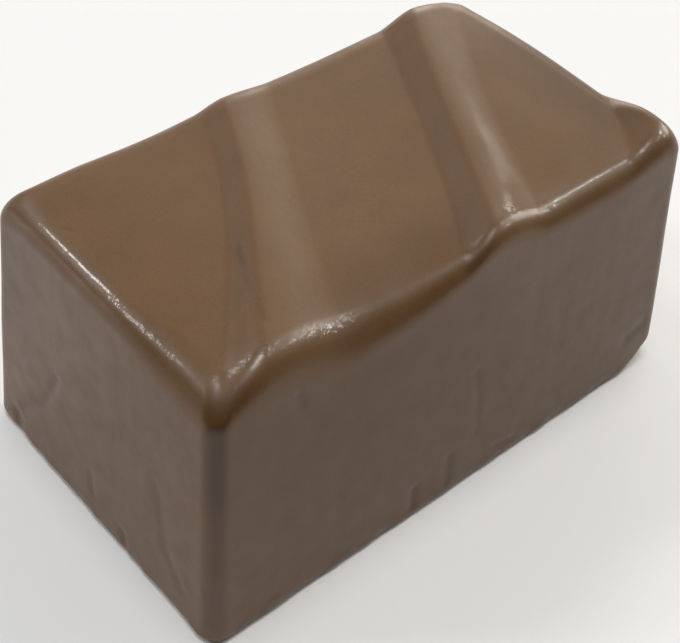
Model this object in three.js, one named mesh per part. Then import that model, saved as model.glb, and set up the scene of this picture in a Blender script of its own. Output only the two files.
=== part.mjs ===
// A moulded milk chocolate praline: a small block with drafted faces and rounded edges,
// whose top is crossed aslant by low ridges with shallow hollows between them.
// Millimetres, +Z up. The origin is the middle of the flat foot, and X runs along the block.
// "Near" is the long face at -Y, "far" the one at +Y, and "left" is -X.
import * as THREE from "three";
import { mergeVertices } from "three/addons/utils/BufferGeometryUtils.js";

// The block
const LENGTH = 35.0; // along X, at the foot
const WIDTH = 21.3; // along Y, at the foot
const HEIGHT = 17.2; // from the foot to the mean level of the top
const END_DRAFT = 0.074; // lean of each end face, in per millimetre up
const SIDE_DRAFT = 0.076; // lean of each long face, in per millimetre up
const CORNER_RADIUS = 1.15; // the four upright edges
const TOP_RADIUS = 1.8; // the edges round the top
const SHARP_TOP_RADIUS = 1.1; // the same at the near and the left edge, away from their ends
const SHARP_REACH = 5.3; // how far in from those edges the one radius turns into the other
const SOFT_CORNER = 3.0; // how far the larger radius holds from the left near corner
const SOFT_CORNER_END = 10.0; // where the smaller one is reached
const SOFT_STRETCH = 1.7; // how many times further both reach along the near edge
const SOFT_FAR_END = 4.3; // length over which the left edge rounds off at its far end
const FOOT_RADIUS = 0.6; // the edges round the foot
const RELIEF_DEPTH = 5.0; // how far down the faces the waves of the top still show

// The ridges, from left to right. The first line carries no ridge: it only bounds the first
// hollow. The last ridge passes just outside the right near corner. Values in threes hold at
// the near edge, in the middle and at the far edge of the top.
// crest: where the crest lies along X
// bow: how far an S-shaped bend moves the crest between those places
// height: how far the crest stands up
// left, right: width of the left and of the right flank
const RIDGES = [
  { crest: [-21.0, -16.0, -11.1], bow: 0.0, height: [0, 0, 0], left: [3, 3, 3], right: [3, 3, 3] },
  {
    crest: [-13.2, -6.8, -2.0],
    bow: 0.09,
    height: [0.66, 0.5, 0.23],
    left: [3.0, 1.75, 1.9],
    right: [5.2, 3.2, 3.5],
  },
  {
    crest: [1.8, 6.87, 12.45],
    bow: -0.1,
    height: [0.72, 0.57, 0.58],
    left: [2.5, 1.95, 2.75],
    right: [3.5, 2.9, 3.8],
  },
  {
    crest: [14.5, 19.25, 22.0],
    bow: -0.15,
    height: [0.38, 1.5, 1.05],
    left: [3.0, 2.0, 2.05],
    right: [3.0, 3.3, 3.5],
  },
];

// The hollows between the ridges.
// sag: how far the surface sags (a negative sag is a crown)
// roll: how much further it has sunk ROLL_LENGTH beyond ROLL_START, towards the near edge
const HOLLOWS = [
  { sag: [0.25, -0.09, 0.25], roll: 0.06 },
  { sag: [0.13, 0.29, 0.16], roll: 0.6 },
  { sag: [0.16, -0.28, 0.28], roll: 0.12 },
];
const ROLL_START = -4.65; // along Y
const ROLL_LENGTH = 4.0;
const ROLL_MARGIN = 0.45; // share of a hollow over which its roll fades towards each ridge

// The grid that carries the shape
const STEPS_X = 56;
const STEPS_Y = 34;
const CORNER_STEPS = 3; // of the above, in each half of an upright edge's arc
const FOOT_STEPS = 2;
const FACE_STEPS = 5;
const TOP_STEPS = 5;
const STEPS_Z = FOOT_STEPS + FACE_STEPS + TOP_STEPS;

const { clamp, lerp, smoothstep } = THREE.MathUtils;
const HALF_LENGTH = LENGTH / 2;
const HALF_WIDTH = WIDTH / 2;
const TOP_HALF_WIDTH = HALF_WIDTH - SIDE_DRAFT * HEIGHT;
const QUARTER_TURN = Math.PI / 2;

// 0 at the near long edge of the top and 1 at the far one.
function acrossTop(y) {
  return (y + TOP_HALF_WIDTH) / (2 * TOP_HALF_WIDTH);
}

// A value that changes evenly along Y, through its three given ones.
function along([near, middle, far], y) {
  const share = acrossTop(y);
  const start = 4 * middle - 3 * near - far;
  const bend = 2 * near - 4 * middle + 2 * far;
  return near + start * share + bend * share ** 2;
}

function crestX(ridge, y) {
  return along(ridge.crest, y) + ridge.bow * Math.sin((Math.PI * y) / TOP_HALF_WIDTH);
}

function ridgeHeight(ridge, x, y) {
  const offset = x - crestX(ridge, y);
  const width = along(offset < 0 ? ridge.left : ridge.right, y);
  const share = Math.min(Math.abs(offset) / width, 1);
  return along(ridge.height, y) * (1 - share ** 2) ** 2;
}

function hollowDepth(index, x, y) {
  const { sag, roll } = HOLLOWS[index];
  const leftCrest = crestX(RIDGES[index], y);
  const rightCrest = crestX(RIDGES[index + 1], y);
  const share = clamp((x - leftCrest) / (rightCrest - leftCrest), 0, 1);
  const rolled = Math.max((ROLL_START - y) / ROLL_LENGTH, 0) ** 2;
  const inside = smoothstep(share, 0, ROLL_MARGIN) * smoothstep(1 - share, 0, ROLL_MARGIN);
  return along(sag, y) * Math.sin(Math.PI * share) + roll * rolled * inside;
}

// How far the top surface stands above its mean level.
function relief(x, y) {
  const raised = RIDGES.reduce((sum, ridge) => sum + ridgeHeight(ridge, x, y), 0);
  const sunk = HOLLOWS.reduce((sum, _, index) => sum + hollowDepth(index, x, y), 0);
  return raised - sunk;
}

// A grid line's place along one side of a sharp-cornered plan: its first and last few lines
// are spaced so that the rounding below turns them by equal angles.
function gridLine(step, steps, half) {
  const fromEnd = Math.min(step, steps - step);
  const side = step * 2 < steps ? -1 : 1;
  const straightHalf = half - CORNER_RADIUS;
  if (fromEnd < CORNER_STEPS) {
    const turn = (1 - fromEnd / CORNER_STEPS) * (QUARTER_TURN / 2);
    return side * (straightHalf + CORNER_RADIUS * Math.tan(turn));
  }
  const share = (step - CORNER_STEPS) / (steps - 2 * CORNER_STEPS);
  return lerp(-straightHalf, straightHalf, share);
}

// Rounds the four corners of the plan: each corner square becomes a quarter disc.
function roundPlan(x, y) {
  const coreX = clamp(x, CORNER_RADIUS - HALF_LENGTH, HALF_LENGTH - CORNER_RADIUS);
  const coreY = clamp(y, CORNER_RADIUS - HALF_WIDTH, HALF_WIDTH - CORNER_RADIUS);
  const outX = x - coreX;
  const outY = y - coreY;
  const reach = Math.hypot(outX, outY);
  const pull = reach > 0 ? Math.max(Math.abs(outX), Math.abs(outY)) / reach : 1;
  return [coreX + outX * pull, coreY + outY * pull];
}

// Radius of the rounded top edge at a place in the plan.
function topRadius(planX, planY) {
  const fromLeft = planX + HALF_LENGTH;
  const fromNear = planY + HALF_WIDTH;
  const fromCorner = Math.max(fromLeft / SOFT_STRETCH, fromNear);
  const inside = smoothstep(fromLeft, 0, SHARP_REACH) * smoothstep(fromNear, 0, SHARP_REACH);
  const atCorner = 1 - smoothstep(fromCorner, SOFT_CORNER, SOFT_CORNER_END);
  const atFarEnd = smoothstep(fromNear, WIDTH - SOFT_FAR_END, WIDTH);
  return lerp(SHARP_TOP_RADIUS, TOP_RADIUS, Math.max(inside, atCorner, atFarEnd));
}

// Height of a grid level, and how far the rounded edges draw the plan in there.
function levelOf(step, radius) {
  if (step <= FOOT_STEPS) {
    const turn = (step / FOOT_STEPS) * QUARTER_TURN;
    return [FOOT_RADIUS * (1 - Math.cos(turn)), FOOT_RADIUS * (1 - Math.sin(turn))];
  }
  const topStep = step - FOOT_STEPS - FACE_STEPS;
  if (topStep >= 0) {
    const turn = (topStep / TOP_STEPS) * QUARTER_TURN;
    return [HEIGHT - radius * (1 - Math.sin(turn)), radius * (1 - Math.cos(turn))];
  }
  return [lerp(FOOT_RADIUS, HEIGHT - radius, (step - FOOT_STEPS) / FACE_STEPS), 0];
}

// Moves a point of the plain cube of half-size 1 to its place on the praline.
function place(point) {
  const stepX = Math.round(((point.x + 1) / 2) * STEPS_X);
  const stepY = Math.round(((point.y + 1) / 2) * STEPS_Y);
  const stepZ = Math.round(((point.z + 1) / 2) * STEPS_Z);
  const [planX, planY] = roundPlan(
    gridLine(stepX, STEPS_X, HALF_LENGTH),
    gridLine(stepY, STEPS_Y, HALF_WIDTH),
  );
  const [z, inset] = levelOf(stepZ, topRadius(planX, planY));
  const x = planX * (1 - (END_DRAFT * z + inset) / HALF_LENGTH);
  const y = planY * (1 - (SIDE_DRAFT * z + inset) / HALF_WIDTH);
  const share = smoothstep(z, HEIGHT - RELIEF_DEPTH, HEIGHT);
  return point.set(x, y, z + relief(x, y) * share);
}

// Swaps the grid on the flat foot for one fan of triangles round its middle.
function fanFoot(geometry) {
  const position = geometry.getAttribute("position");
  const onFoot = (vertex) => position.getZ(vertex) === 0;
  const order = Array.from({ length: position.count }, (_, vertex) => vertex);
  const reach = (vertex) => Math.hypot(position.getX(vertex), position.getY(vertex));
  const nearer = (best, vertex) => (reach(vertex) < reach(best) ? vertex : best);
  const middle = order.filter(onFoot).reduce(nearer);
  const triangles = [];
  for (let start = 0; start < geometry.index.count; start += 3) {
    const corners = [0, 1, 2].map((offset) => geometry.index.getX(start + offset));
    if (corners.every(onFoot)) continue;
    triangles.push(...corners);
    corners.forEach((from, corner) => {
      const to = corners[(corner + 1) % 3];
      if (onFoot(from) && onFoot(to)) triangles.push(to, from, middle);
    });
  }
  geometry.setIndex(triangles);
}

function pralineGeometry() {
  const cube = new THREE.BoxGeometry(2, 2, 2, STEPS_X, STEPS_Y, STEPS_Z);
  cube.deleteAttribute("normal");
  cube.deleteAttribute("uv");
  const geometry = mergeVertices(cube);
  const position = geometry.getAttribute("position");
  const point = new THREE.Vector3();
  for (let vertex = 0; vertex < position.count; vertex += 1) {
    place(point.fromBufferAttribute(position, vertex));
    position.setXYZ(vertex, point.x, point.y, point.z);
  }
  fanFoot(geometry);
  geometry.computeVertexNormals();
  return geometry;
}

const milkChocolate = new THREE.MeshStandardMaterial({
  color: "#6b4e3b",
  roughness: 0.42,
  metalness: 0.0,
});

const praline = new THREE.Mesh(pralineGeometry(), milkChocolate);
praline.name = "praline";

const root = new THREE.Group();
root.add(praline);

export default root;
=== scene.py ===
"""A moulded milk chocolate praline on a pale floor.

The praline is rebuilt on a fine grid from the dimensions of its solid, and then gets the
unevenness, drag marks, dents, chip and ragged foot of a real one.
"Near" is the long face at -Y, "far" the one at +Y, and "left" is -X.
"""
import math

import bpy
import numpy as np
from mathutils import Matrix, Vector, noise


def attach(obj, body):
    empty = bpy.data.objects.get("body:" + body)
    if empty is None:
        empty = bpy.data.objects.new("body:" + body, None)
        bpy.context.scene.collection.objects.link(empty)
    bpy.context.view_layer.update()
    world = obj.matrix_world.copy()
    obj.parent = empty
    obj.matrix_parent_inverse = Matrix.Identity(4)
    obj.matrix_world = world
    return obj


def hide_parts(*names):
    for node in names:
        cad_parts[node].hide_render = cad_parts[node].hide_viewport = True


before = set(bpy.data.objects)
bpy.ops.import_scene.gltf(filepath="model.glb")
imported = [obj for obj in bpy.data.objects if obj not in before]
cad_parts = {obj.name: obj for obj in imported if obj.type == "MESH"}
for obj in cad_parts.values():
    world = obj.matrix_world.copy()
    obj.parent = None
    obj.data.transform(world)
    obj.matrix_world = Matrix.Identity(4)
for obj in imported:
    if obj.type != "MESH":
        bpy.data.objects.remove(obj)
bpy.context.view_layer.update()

# ---------------------------------------------------------------- the block, in millimetres
MM = 0.001  # metres in a millimetre
LENGTH = 35.0  # along X, at the foot
WIDTH = 21.3  # along Y, at the foot
HEIGHT = 17.2  # from the foot to the mean level of the top
END_DRAFT = 0.074  # lean of each end face, in per millimetre up
SIDE_DRAFT = 0.076  # lean of each long face, in per millimetre up
CORNER_RADIUS = 1.15  # the four upright edges
TOP_RADIUS = 1.8  # the edges round the top
SHARP_TOP_RADIUS = 1.1  # the same at the near and the left edge, away from their ends
SHARP_REACH = 5.3  # how far in from those edges the one radius turns into the other
SOFT_CORNER = 3.0  # how far the larger radius holds from the left near corner
SOFT_CORNER_END = 10.0  # where the smaller one is reached
SOFT_STRETCH = 1.7  # how many times further both reach along the near edge
SOFT_FAR_END = 4.3  # length over which the left edge rounds off at its far end
FOOT_RADIUS = 0.6  # the edges round the foot
RELIEF_DEPTH = 5.0  # how far down the faces the waves of the top still show

# The ridges, from left to right. The first line carries no ridge: it only bounds the first
# hollow. Values in threes hold at the near edge, in the middle and at the far edge of the top.
# crest: where the crest lies along X
# bow: how far an S-shaped bend moves the crest between those places
# height: how far the crest stands up
# left, right: width of the left and of the right flank
FLAT = (3, 3, 3)
RIDGES = (
    dict(crest=(-21.0, -16.0, -11.1), bow=0.0, height=(0, 0, 0), left=FLAT, right=FLAT),
    dict(
        crest=(-13.2, -6.8, -2.0),
        bow=0.09,
        height=(0.66, 0.5, 0.23),
        left=(3.0, 1.75, 1.9),
        right=(5.2, 3.2, 3.5),
    ),
    dict(
        crest=(1.8, 6.87, 12.45),
        bow=-0.1,
        height=(0.72, 0.57, 0.58),
        left=(2.5, 1.95, 2.75),
        right=(3.5, 2.9, 3.8),
    ),
    dict(
        crest=(14.5, 19.25, 22.0),
        bow=-0.15,
        height=(0.38, 1.5, 1.05),
        left=(3.0, 2.0, 2.05),
        right=(3.0, 3.3, 3.5),
    ),
)
# The hollows between the ridges.
# sag: how far the surface sags (a negative sag is a crown)
# roll: how much further it has sunk ROLL_LENGTH beyond ROLL_START, towards the near edge
HOLLOWS = (
    dict(sag=(0.25, -0.09, 0.25), roll=0.06),
    dict(sag=(0.13, 0.29, 0.16), roll=0.6),
    dict(sag=(0.16, -0.28, 0.28), roll=0.12),
)
ROLL_START = -4.65  # along Y
ROLL_LENGTH = 4.0
ROLL_MARGIN = 0.45  # share of a hollow over which its roll fades towards each ridge

HALF_LENGTH = LENGTH / 2
HALF_WIDTH = WIDTH / 2
TOP_HALF_WIDTH = HALF_WIDTH - SIDE_DRAFT * HEIGHT

# ---------------------------------------------------------------- the fine grid
STEPS_X = 230
STEPS_Y = 144
CORNER_STEPS = 8  # of the above, in each half of an upright edge's arc
FOOT_STEPS = 6
FACE_STEPS = 84
TOP_STEPS = 14
STEPS_Z = FOOT_STEPS + FACE_STEPS + TOP_STEPS


def lerp(start, end, share):
    return start + (end - start) * share


def smooth(value, low, high):
    """0 below low, 1 above high, and a soft step between them."""
    share = np.clip((value - low) / (high - low), 0.0, 1.0)
    return share * share * (3.0 - 2.0 * share)


def across_top(y):
    """0 at the near long edge of the top and 1 at the far one."""
    return (y + TOP_HALF_WIDTH) / (2 * TOP_HALF_WIDTH)


def along(values, y):
    """A value that changes evenly along Y, through its three given ones."""
    near, middle, far = values
    share = across_top(y)
    start = 4 * middle - 3 * near - far
    bend = 2 * near - 4 * middle + 2 * far
    return near + start * share + bend * share**2


def crest_x(ridge, y):
    return along(ridge["crest"], y) + ridge["bow"] * np.sin(math.pi * y / TOP_HALF_WIDTH)


def ridge_height(ridge, x, y):
    offset = x - crest_x(ridge, y)
    width = np.where(offset < 0, along(ridge["left"], y), along(ridge["right"], y))
    share = np.clip(abs(offset) / width, 0.0, 1.0)
    return along(ridge["height"], y) * (1 - share**2) ** 2


def hollow_depth(index, x, y):
    hollow = HOLLOWS[index]
    left_crest = crest_x(RIDGES[index], y)
    right_crest = crest_x(RIDGES[index + 1], y)
    share = np.clip((x - left_crest) / (right_crest - left_crest), 0.0, 1.0)
    rolled = np.maximum((ROLL_START - y) / ROLL_LENGTH, 0.0) ** 2
    inside = smooth(share, 0, ROLL_MARGIN) * smooth(1 - share, 0, ROLL_MARGIN)
    return along(hollow["sag"], y) * np.sin(math.pi * share) + hollow["roll"] * rolled * inside


def relief(x, y):
    """How far the top surface stands above its mean level."""
    raised = sum(ridge_height(ridge, x, y) for ridge in RIDGES)
    sunk = sum(hollow_depth(index, x, y) for index in range(len(HOLLOWS)))
    return raised - sunk


def grid_line(step, steps, half):
    """A grid line's place along one side of a sharp-cornered plan."""
    from_end = np.minimum(step, steps - step)
    side = np.where(step * 2 < steps, -1.0, 1.0)
    straight_half = half - CORNER_RADIUS
    turn = (1 - from_end / CORNER_STEPS) * (math.pi / 4)
    in_corner = side * (straight_half + CORNER_RADIUS * np.tan(turn))
    share = (step - CORNER_STEPS) / (steps - 2 * CORNER_STEPS)
    between = lerp(-straight_half, straight_half, share)
    return np.where(from_end < CORNER_STEPS, in_corner, between)


def round_plan(x, y):
    """Rounds the four corners of the plan: each corner square becomes a quarter disc."""
    core_x = np.clip(x, CORNER_RADIUS - HALF_LENGTH, HALF_LENGTH - CORNER_RADIUS)
    core_y = np.clip(y, CORNER_RADIUS - HALF_WIDTH, HALF_WIDTH - CORNER_RADIUS)
    out_x = x - core_x
    out_y = y - core_y
    reach = np.hypot(out_x, out_y)
    pull = np.maximum(abs(out_x), abs(out_y)) / np.where(reach > 0, reach, 1.0)
    return core_x + out_x * pull, core_y + out_y * pull


def top_radius(plan_x, plan_y):
    """Radius of the rounded top edge at a place in the plan."""
    from_left = plan_x + HALF_LENGTH
    from_near = plan_y + HALF_WIDTH
    from_corner = np.maximum(from_left / SOFT_STRETCH, from_near)
    inside = smooth(from_left, 0, SHARP_REACH) * smooth(from_near, 0, SHARP_REACH)
    at_corner = 1 - smooth(from_corner, SOFT_CORNER, SOFT_CORNER_END)
    at_far_end = smooth(from_near, WIDTH - SOFT_FAR_END, WIDTH)
    share = np.maximum(inside, np.maximum(at_corner, at_far_end))
    return lerp(SHARP_TOP_RADIUS, TOP_RADIUS, share)


def level_of(step, radius):
    """Height of a grid level, and how far the rounded edges draw the plan in there."""
    foot_turn = np.clip(step / FOOT_STEPS, 0, 1) * (math.pi / 2)
    top_turn = np.clip((step - FOOT_STEPS - FACE_STEPS) / TOP_STEPS, 0, 1) * (math.pi / 2)
    face_share = np.clip((step - FOOT_STEPS) / FACE_STEPS, 0, 1)
    z = FOOT_RADIUS * (1 - np.cos(foot_turn))
    z = z + (HEIGHT - radius - FOOT_RADIUS) * face_share + radius * np.sin(top_turn)
    inset = FOOT_RADIUS * (1 - np.sin(foot_turn)) + radius * (1 - np.cos(top_turn))
    return z, inset


def solid_points(lattice):
    """Places points of the cubic grid on the smooth praline."""
    step_x, step_y, step_z = lattice.T
    plan_x, plan_y = round_plan(
        grid_line(step_x, STEPS_X, HALF_LENGTH), grid_line(step_y, STEPS_Y, HALF_WIDTH)
    )
    z, inset = level_of(step_z, top_radius(plan_x, plan_y))
    x = plan_x * (1 - (END_DRAFT * z + inset) / HALF_LENGTH)
    y = plan_y * (1 - (SIDE_DRAFT * z + inset) / HALF_WIDTH)
    z = z + relief(x, y) * smooth(z, HEIGHT - RELIEF_DEPTH, HEIGHT)
    return np.column_stack((x, y, z))


def lattice_squares():
    """Every square on the outside of the cubic grid, as four grid points, facing out."""
    steps = (STEPS_X, STEPS_Y, STEPS_Z)
    for axis in range(3):
        across, up = (axis + 1) % 3, (axis + 2) % 3
        for level in (0, steps[axis]):
            for a in range(steps[across]):
                for b in range(steps[up]):
                    square = []
                    for da, db in ((0, 0), (1, 0), (1, 1), (0, 1)):
                        point = [0, 0, 0]
                        point[axis] = level
                        point[across] = a + da
                        point[up] = b + db
                        square.append(tuple(point))
                    yield square if level else square[::-1]


# ---------------------------------------------------------------- surface detail
# The faces that carry marks: the axes that locate a mark there, the face's outward direction,
# and how closely the surface has to face that way where a mark begins and where it is full.
FACES = dict(
    left=((1, 2), (-1, 0, 0), 0.5, 0.8),
    right=((1, 2), (1, 0, 0), 0.5, 0.8),
    near=((0, 2), (0, -1, 0), 0.5, 0.8),
    far=((0, 2), (0, 1, 0), 0.5, 0.8),
    top=((0, 1), (0, 0, 1), 0.5, 0.8),
    near_left_edge=((2,), (-0.707, -0.707, 0), 0.76, 0.97),
    near_left_corner=((2,), (-0.56, -0.53, 0.64), 0.86, 0.98),
)

# Marks and painted shade, in millimetres: the face, the places that the mark runs through, its
# half-width, how deep it is (less than 0 where it stands proud), and how much it darkens the
# chocolate: painted shade, except for the dark of a few shallow smudges.
MARKS_AND_SHADE = (
    # Drag marks in the left face, and notches in its foot, darkened with painted shade in their
    # hollows
    ("left", ((3.7, 8.2), (4.4, 6.6), (5.1, 5.3), (7.5, 2.7)), 0.36, 0.07, 0.3),
    ("left", ((-5.4, 8.2), (-6.3, 4.3), (-7.8, 2.6)), 0.45, 0.04, 0.2),
    ("left", ((0.5, 3.6), (0.4, 2.3)), 0.3, 0.05, 0.3),
    ("left", ((8.2, 1.6), (8.0, 0.5)), 0.45, 0.12, 0.4),
    ("left", ((-2.5, 1.6), (-2.7, 0.6)), 0.35, 0.08, 0.3),
    # Painted shade: broad darker places on the left face, and on the upright edge between it and
    # the near face
    ("left", ((-7.0, 15.0), (7.5, 15.0)), 3.0, 0.0, 0.16),
    ("left", ((8.5, 14.0), (8.5, 8.0)), 2.5, 0.0, 0.2),
    ("left", ((-7.0, 8.0), (7.5, 8.0)), 9.0, 0.0, 0.15),
    ("near_left_corner", ((16.6,), (15.4,)), 1.0, 0.0, 0.5),
    ("near_left_edge", ((16.0,), (12.0,)), 2.5, 0.0, 0.35),
    ("near_left_edge", ((16.0,), (2.0,)), 2.0, 0.0, 0.3),
    # Painted shade: broad darker places on the near face
    ("near", ((-15.0, 8.0), (15.0, 8.0)), 9.0, 0.0, 0.35),
    ("near", ((-15.0, 14.0), (-3.0, 13.0)), 4.5, 0.0, 0.2),
    # Dents and drag marks in the near face, and notches and a crumb at its foot; the darkening is
    # painted shade in the dents and notches, and the dark of smudges on the shallowest ones
    ("near", ((-11.35, 15.1), (-11.15, 14.5)), 0.32, 0.06, 0.4),
    ("near", ((-9.95, 12.9), (-9.8, 12.5)), 0.4, 0.02, 0.15),
    ("near", ((-7.9, 11.4), (-6.6, 9.9)), 0.8, 0.01, 0.12),
    ("near", ((-8.9, 6.3), (-8.6, 5.9)), 0.4, 0.02, 0.15),
    ("near", ((0.85, 8.9), (1.2, 6.5), (1.36, 4.0)), 0.28, 0.03, 0.12),
    ("near", ((-0.75, 3.2), (-0.8, 1.2)), 0.35, 0.08, 0.3),
    ("near", ((-3.4, 2.4), (-3.45, 0.9)), 0.35, 0.1, 0.35),
    ("near", ((3.1, 1.5), (4.5, 1.1)), 0.25, 0.06, 0.1),
    ("near", ((14.2, 3.2), (15.6, 3.7)), 0.5, 0.05, 0.3),
    ("near", ((-13.4, 1.0), (-13.0, 0.9)), 0.25, -0.05, 0.0),
    # The same on the right and the far face
    ("right", ((-3.2, 1.8), (-3.0, 0.7)), 0.35, 0.08, 0.3),
    ("right", ((4.5, 6.5), (5.4, 4.0)), 0.4, 0.04, 0.2),
    ("far", ((5.6, 2.6), (5.5, 1.0)), 0.35, 0.09, 0.3),
    ("far", ((-6.0, 1.6), (-6.2, 0.6)), 0.3, 0.08, 0.3),
    ("far", ((-11.0, 8.5), (-9.8, 6.4)), 0.5, 0.03, 0.15),
    # Painted shade on the top: the left flanks of two ridges, which face away from the light, and
    # parts of the hollows
    ("top", ((-10.3, -4.0), (-8.3, 0.0), (-5.8, 3.3), (-4.2, 7.5)), 1.1, 0.0, 0.1),
    ("top", ((0.8, -7.5), (3.6, -4.0), (5.0, -1.8), (8.3, 4.1), (10.0, 8.0)), 1.1, 0.0, 0.08),
    ("top", ((-6.5, -7.0), (0.0, -6.8)), 2.0, 0.0, 0.28),
    ("top", ((14.0, -5.0), (14.8, 2.0)), 2.0, 0.0, 0.45),
    # A crease beside the first ridge, the fine fold along it, and a scratch near the left edge; the
    # crease and the scratch are darkened with painted shade
    ("top", ((-9.1, -1.5), (-10.3, -4.1), (-11.3, -6.6)), 0.22, 0.035, 0.12),
    ("top", ((-9.9, -3.4), (-10.8, -5.6)), 0.14, -0.02, 0.0),
    ("top", ((-15.0, 4.8), (-14.6, 4.2)), 0.12, 0.03, 0.1),
)
# The unevenness of the surface, in millimetres: where it lies, how deep it is, how large its
# lumps are along X, Y and Z, and the seed of its noise.
UNEVENNESS = (
    ("everywhere", 0.04, (7.0, 7.0, 7.0), 1),
    ("everywhere", 0.012, (2.6, 2.6, 2.6), 2),
    ("upright", 0.008, (0.8, 0.8, 5.0), 3),
    ("foot", 0.11, (1.5, 1.5, 1.5), 5),
    ("foot", 0.05, (0.6, 0.6, 0.6), 6),
)
UPRIGHT_SLOPE = (0.2, 0.5)  # Z of a normal up to which a face is upright, and past which it isn't
FOOT_FADE = (0.2, 1.1)  # heights between which the ragged foot fades out
SEED_SHIFT = 17.3  # how far the noise moves on with each seed, in lumps
FLOOR_CONTACT = 0.02  # what lies lower than this stands on the floor
# The chip at the right near corner of the foot: how far it reaches along X, Y and Z, the radius
# of its rim, and how deep and how large the lumps in the break are.
CHIP = (3.2, 2.2, 2.6)
CHIP_RIM = 0.15
CHIP_LUMP_DEPTH = 0.06
CHIP_LUMP_SIZE = 0.8
CHIP_SEED = 8
# Where the praline is rubbed glossy: a path in the plan, its half-width, how far up the rounded
# edge its middle lies (0 below, 1 on the top), the gloss, and how much it sparkles.
RUBBED = (
    (((-15.7, 7.6), (-15.7, 3.7)), 0.8, 0.75, 0.6, 0.3),
    (((-15.7, 3.7), (-15.7, -0.7)), 0.9, 0.7, 1.0, 0.05),
    (((-15.7, -0.7), (-15.7, -5.0)), 0.8, 0.66, 0.4, 0.4),
    (((-14.2, -7.5), (-13.2, -8.1), (-12.3, -8.3)), 0.7, 0.85, 0.75, 0.8),
    (((-9.7, -8.1), (-7.6, -8.4)), 0.9, 0.78, 0.95, 1.0),
    (((3.2, -8.0), (4.3, -7.9)), 0.7, 0.85, 1.0, 0.7),
    (((5.2, -8.4), (7.6, -8.6)), 0.7, 0.82, 1.0, 0.6),
    (((7.6, -8.6), (15.7, -8.4)), 0.7, 0.8, 0.7, 0.1),
    (((5.2, -6.2), (6.0, -5.0), (6.9, -3.0), (7.6, -1.0), (8.5, 0.7)), 0.45, 1.0, 0.14, 0.0),
)
RUBBED_SPREAD = 0.22  # how far up and down from there the gloss fades, on the same scale


def lumps(points, size, seed):
    """Smooth noise from about -1 to 1, with lumps of the given size along each axis."""
    shifted = points / np.asarray(size) + seed * SEED_SHIFT
    return np.array([noise.noise(Vector(point)) for point in shifted])


def distance_to_path(places, path):
    """Distance of each place from a line through the given points."""
    nearest = np.full(len(places), np.inf)
    for start, end in zip(path, path[1:]):
        run = np.subtract(end, start)
        share = np.clip((places - start) @ run / (run @ run), 0.0, 1.0)
        apart = places - start - share[:, None] * run
        nearest = np.minimum(nearest, np.linalg.norm(apart, axis=1))
    return nearest


def marks_and_shade(points, normals):
    """How deep the marks are at each point, and how much painted shade, with the dark of a few
    smudges, darkens it.
    """
    depth = np.zeros(len(points))
    shade_and_smudges = np.zeros(len(points))
    for face, path, half_width, deep, dark in MARKS_AND_SHADE:
        axes, outward, begin, full = FACES[face]
        on_face = smooth(normals @ outward, begin, full)
        inside = on_face * np.exp(-((distance_to_path(points[:, axes], path) / half_width) ** 2))
        depth += deep * inside
        shade_and_smudges += dark * inside
    return depth, shade_and_smudges


def rubbed(points, step_z):
    """How glossy the rubbed places are at each point, and how much they sparkle."""
    up_the_edge = np.clip((step_z - FOOT_STEPS - FACE_STEPS) / TOP_STEPS, 0, 1)
    shine = np.zeros(len(points))
    sparkle = np.zeros(len(points))
    for path, half_width, middle, gloss, glints in RUBBED:
        apart = distance_to_path(points[:, :2], path) / half_width
        inside = np.exp(-(apart**2) - ((up_the_edge - middle) / RUBBED_SPREAD) ** 2)
        shine = np.maximum(shine, gloss * inside)
        sparkle = np.maximum(sparkle, glints * inside)
    return shine, sparkle


def unevenness(points, normals):
    """How far the shallow waves, drag streaks and ragged foot stand out, in millimetres."""
    upright = 1 - smooth(abs(normals[:, 2]), *UPRIGHT_SLOPE)
    foot = upright * (1 - smooth(points[:, 2], *FOOT_FADE))
    shares = dict(everywhere=1.0, upright=upright, foot=foot)
    return sum(
        shares[where] * depth * lumps(points, size, seed)
        for where, depth, size, seed in UNEVENNESS
    )


def chip_corner(points):
    """Breaks off the right near corner of the foot, and rounds the rim of the break a little."""
    corner = (HALF_LENGTH, -HALF_WIDTH, 0)
    signs = np.array((-1, 1, 1))  # of the directions from the corner into the block
    reach = np.array(CHIP)
    steepness = np.linalg.norm(1 / reach)
    depth = (1 - ((points - corner) * signs / reach).sum(axis=1)) / steepness
    cut = (depth + np.hypot(depth, CHIP_RIM)) / 2
    cut += np.where(depth > 0, CHIP_LUMP_DEPTH * lumps(points, CHIP_LUMP_SIZE, CHIP_SEED), 0)
    return points + cut[:, None] * (signs / reach / steepness)


def worn(points, normals, mark_depth):
    """Moves the points of the smooth praline to where the marks and the wear have left them."""
    on_floor = points[:, 2] < FLOOR_CONTACT
    points = points + normals * (unevenness(points, normals) - mark_depth)[:, None]
    points[on_floor, 2] = np.maximum(points[on_floor, 2], 0.0)
    return chip_corner(points)


def lattice_and_faces():
    """The points on the outside of the cubic grid, and its squares as indices of them."""
    squares = list(lattice_squares())
    index = {}
    for square in squares:
        for point in square:
            index.setdefault(point, len(index))
    faces = [[index[point] for point in square] for square in squares]
    return np.array(list(index), float), faces


def praline_mesh():
    lattice, faces = lattice_and_faces()
    points = solid_points(lattice)
    mesh = bpy.data.meshes.new("milk_chocolate_praline")
    mesh.from_pydata((points * MM).tolist(), [], faces)
    normals = np.empty(points.size)
    mesh.vertex_normals.foreach_get("vector", normals)
    normals = normals.reshape(-1, 3)
    mark_depth, shade_and_smudges = marks_and_shade(points, normals)
    points = worn(points, normals, mark_depth)
    mesh.vertices.foreach_set("co", (points * MM).ravel())
    shine, sparkle = rubbed(points, lattice[:, 2])
    # The darkening attribute holds painted shade and the dark of a few smudges.
    for name, values in (("shade_and_smudges", shade_and_smudges), ("shine", shine), ("sparkle", sparkle)):
        mesh.attributes.new(name, "FLOAT", "POINT").data.foreach_set("value", values)
    mesh.shade_smooth()
    mesh.update()
    return mesh


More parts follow.
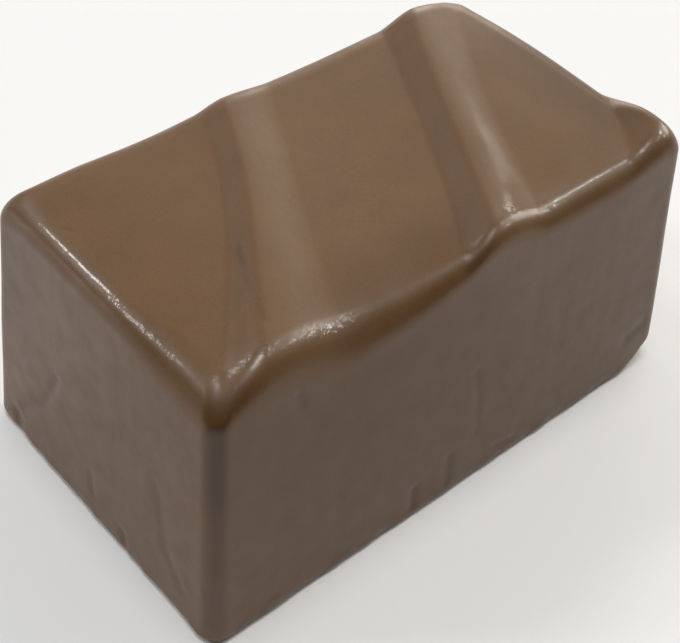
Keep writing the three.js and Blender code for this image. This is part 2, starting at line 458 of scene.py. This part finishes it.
# ---------------------------------------------------------------- milk chocolate
LIGHT_TINT = (0.156, 0.0765, 0.026, 1.0)
DARK_TINT = (0.118, 0.057, 0.0185, 1.0)
# the colour that painted shade, and the dark of a few smudges, mixes into the chocolate
SHADE_AND_SMUDGE_TINT = (0.065, 0.025, 0.004, 1.0)
REFRACTIVE_INDEX = 1.5
SATIN_ROUGHNESS = (0.34, 0.44)  # at its smoothest and at its roughest
COAT_ROUGHNESS = 0.14  # of the gloss that lies over it where the praline is rubbed
GRAIN_DEPTH = 0.006 * MM
GLINT_DEPTHS = (0.005 * MM, 0.07 * MM)  # of the gloss, where it doesn't sparkle and where it does
# Noises, each with its lumps in a millimetre and its detail
CLOUDS = (0.35, 3.0)
SPECKLES = (7.0, 2.0)
SATIN = (0.8, 3.0)
GRAIN = (2.2, 3.0)
GLINTS = (2.6, 2.0)
NOISE_RANGE = (0.3, 0.7)  # where most of a noise's values lie, and to which it is held
SPECKLE_SHARE = 0.6  # of the speckles in the tint; the clouds have the rest


class Nodes:
    """Adds shader nodes to one material and links them as it goes."""

    # Sockets of a mix node: its share, its two values and its result
    MIX_SOCKETS = dict(RGBA=(0, 6, 7, 2), FLOAT=(0, 2, 3, 0))

    def __init__(self, name):
        self.material = bpy.data.materials.new(name)
        self.material.use_nodes = True
        self.tree = self.material.node_tree
        self.shader = self.tree.nodes["Principled BSDF"]

    def add(self, kind, inputs=(), **settings):
        node = self.tree.nodes.new(kind)
        for key, value in settings.items():
            setattr(node, key, value)
        for key, value in dict(inputs).items():
            self.feed(node.inputs[key], value)
        return node

    def feed(self, socket, value):
        if isinstance(value, bpy.types.NodeSocket):
            self.tree.links.new(value, socket)
        else:
            socket.default_value = value

    def attribute(self, name):
        """A number that the mesh carries at each of its points."""
        return self.add("ShaderNodeAttribute", attribute_name=name).outputs["Fac"]

    def noise(self, place, lumps_per_mm, detail):
        inputs = {"Vector": place, "Scale": lumps_per_mm, "Detail": detail}
        return self.add("ShaderNodeTexNoise", inputs).outputs["Fac"]

    def spread(self, value, low=0.0, high=1.0):
        """Stretches a noise value so that it runs from low to high."""
        start, end = NOISE_RANGE
        inputs = {"Value": value, "From Min": start, "From Max": end, "To Min": low, "To Max": high}
        return self.add("ShaderNodeMapRange", inputs).outputs["Result"]

    def mix(self, kind, share, first, second):
        """A colour between two colours, or a number between two numbers."""
        node = self.add("ShaderNodeMix", data_type=kind)
        *inputs, result = self.MIX_SOCKETS[kind]
        for socket, value in zip(inputs, (share, first, second)):
            self.feed(node.inputs[socket], value)
        return node.outputs[result]

    def bump(self, height, distance, **more):
        """A normal that leans as if the surface were raised by the height times the distance."""
        inputs = {"Height": height, "Strength": 1.0, "Distance": distance, **more}
        return self.add("ShaderNodeBump", inputs).outputs["Normal"]


def chocolate_material():
    made = Nodes("milk_chocolate")
    shader = made.shader.inputs
    place = made.add("ShaderNodeTexCoord").outputs["Object"]
    mapping = made.add("ShaderNodeMapping", {"Vector": place, "Scale": (1 / MM,) * 3})
    in_mm = mapping.outputs["Vector"]
    # Painted shade, and the dark of a few smudges, as a number at each point
    shade_and_smudges = made.attribute("shade_and_smudges")
    shine = made.attribute("shine")
    sparkle = made.attribute("sparkle")
    clouds = made.spread(made.noise(in_mm, *CLOUDS))
    speckles = made.spread(made.noise(in_mm, *SPECKLES))
    tint_share = made.mix("FLOAT", SPECKLE_SHARE, clouds, speckles)
    tint = made.mix("RGBA", tint_share, LIGHT_TINT, DARK_TINT)
    # Painted shade, and the dark of a few smudges, pulls the base colour towards a darker brown.
    made.feed(shader["Base Color"], made.mix("RGBA", shade_and_smudges, tint, SHADE_AND_SMUDGE_TINT))
    made.feed(shader["Roughness"], made.spread(made.noise(in_mm, *SATIN), *SATIN_ROUGHNESS))
    shader["IOR"].default_value = REFRACTIVE_INDEX
    made.feed(shader["Coat Weight"], shine)
    shader["Coat Roughness"].default_value = COAT_ROUGHNESS
    shader["Coat IOR"].default_value = REFRACTIVE_INDEX
    grain = made.bump(made.noise(in_mm, *GRAIN), GRAIN_DEPTH)
    glint_depth = made.mix("FLOAT", sparkle, *GLINT_DEPTHS)
    glints = made.bump(made.noise(in_mm, *GLINTS), glint_depth, Normal=grain)
    made.feed(shader["Normal"], grain)
    made.feed(shader["Coat Normal"], glints)
    return made.material


# ---------------------------------------------------------------- floor, light and camera
FLOOR_SIZE = 3.0  # in metres
FLOOR_COLOUR = (0.92, 0.92, 0.92, 1.0)
FLOOR_ROUGHNESS = 0.9
FLOOR_SPECULAR = 0.1
SKY_COLOUR = (1.0, 1.0, 1.0, 1.0)
SKY_STRENGTH = 0.08
WHITE = (1.0, 1.0, 1.0)
WARM = (1.0, 0.93, 0.83)
# Each light's name, its azimuth from +X, its elevation and how wide it looks from the praline, all
# in degrees, the part of a white floor's brightness that it would give from straight above, and
# its colour
LAMPS = (
    ("overhead", 0, 90, 22, 0.37, WHITE),
    ("right window", 0, 22, 22, 0.19, WARM),
    ("right window, upper part", 0, 45, 22, 0.08, WARM),
    ("far right wall", 36, 22, 22, 0.05, WARM),
    ("far right wall, upper part", 36, 45, 22, 0.04, WARM),
    ("low wall", 45, 5, 22, 0.158, WARM),
    ("back wall", 72, 33, 45, 0.08, WHITE),
    ("back left wall", 108, 33, 45, 0.06, WHITE),
    ("low left wall", 135, 5, 22, 0.085, WHITE),
    ("back left lamp", 136, 44, 8, 0.12, WHITE),
    ("back left glint", 112, 44, 8, 0.085, WHITE),
    ("high left fill", 180, 68, 22, 0.023, WHITE),
    ("fill behind the camera", 214, 45, 45, 0.01, WHITE),
    ("front right fill", 318, 42, 45, 0.02, WHITE),
    ("front right lamp", 332, 57, 10, 0.03, WHITE),
    ("front right glint", 342, 36, 6, 0.085, WHITE),
    ("right glint", 357, 49, 6, 0.05, WHITE),
    ("small right lamp", 22, 22, 7, 0.03, WARM),
)
# The camera, in metres: it stands in front of the near face, turned about Z to the left, and
# looks down at its aim, from where it is moved a little along its own sideways and upward axes.
CAMERA_AIM = Vector((0, 0, 0.009))
CAMERA_TURN = math.radians(-43.69)
CAMERA_ELEVATION = math.radians(46.09)
CAMERA_ROLL = math.radians(4.67)
CAMERA_DISTANCE = 0.07982
CAMERA_SIDESTEP = -0.000286
CAMERA_RISE = -0.002724
CLIP_START = 0.005
PHOTO_WIDTH = 680  # in pixels
FOCAL_PIXELS = 1400  # the camera's focal length, in pixels of the photo
SENSOR_WIDTH = 36.0  # in millimetres


def make_floor():
    half = FLOOR_SIZE / 2
    corners = [(-half, -half, 0), (half, -half, 0), (half, half, 0), (-half, half, 0)]
    mesh = bpy.data.meshes.new("floor")
    mesh.from_pydata(corners, [], [(0, 1, 2, 3)])
    floor = bpy.data.objects.new("floor", mesh)
    bpy.context.scene.collection.objects.link(floor)
    material = bpy.data.materials.new("pale_floor")
    material.use_nodes = True
    shader = material.node_tree.nodes["Principled BSDF"]
    shader.inputs["Base Color"].default_value = FLOOR_COLOUR
    shader.inputs["Roughness"].default_value = FLOOR_ROUGHNESS
    shader.inputs["Specular IOR Level"].default_value = FLOOR_SPECULAR
    mesh.materials.append(material)


def make_lamp(name, azimuth, elevation, width, share, colour):
    """A soft distant light from one direction."""
    data = bpy.data.lights.new(name, "SUN")
    data.angle = math.radians(width)
    data.energy = math.pi * share
    data.color = colour
    turn = Matrix.Rotation(math.radians(azimuth + 90), 4, "Z")
    turn @= Matrix.Rotation(math.radians(90 - elevation), 4, "X")
    lamp = bpy.data.objects.new(name, data)
    lamp.matrix_world = turn @ Matrix.Translation((0, 0, FLOOR_SIZE / 2))
    bpy.context.scene.collection.objects.link(lamp)


def make_world():
    """An even faint light from all round."""
    world = bpy.data.worlds.new("studio")
    world.use_nodes = True
    background = world.node_tree.nodes["Background"]
    background.inputs["Color"].default_value = SKY_COLOUR
    background.inputs["Strength"].default_value = SKY_STRENGTH
    bpy.context.scene.world = world


def make_camera():
    turn = (
        Matrix.Rotation(CAMERA_TURN, 4, "Z")
        @ Matrix.Rotation(math.pi / 2 - CAMERA_ELEVATION, 4, "X")
        @ Matrix.Rotation(CAMERA_ROLL, 4, "Z")
    )
    step = turn @ Vector((CAMERA_SIDESTEP, CAMERA_RISE, CAMERA_DISTANCE))
    data = bpy.data.cameras.new("camera")
    data.sensor_width = SENSOR_WIDTH
    data.lens = SENSOR_WIDTH * FOCAL_PIXELS / PHOTO_WIDTH
    data.clip_start = CLIP_START
    camera = bpy.data.objects.new("camera", data)
    camera.matrix_world = Matrix.Translation(CAMERA_AIM + step) @ turn
    bpy.context.scene.collection.objects.link(camera)
    bpy.context.scene.camera = camera


# ---------------------------------------------------------------- the scene
praline = bpy.data.objects.new("milk_chocolate_praline", praline_mesh())
bpy.context.scene.collection.objects.link(praline)
praline.data.materials.append(chocolate_material())
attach(praline, "root")
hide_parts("praline")

make_floor()
make_world()
for lamp in LAMPS:
    make_lamp(*lamp)
make_camera()
bpy.context.scene.view_settings.view_transform = "Standard"
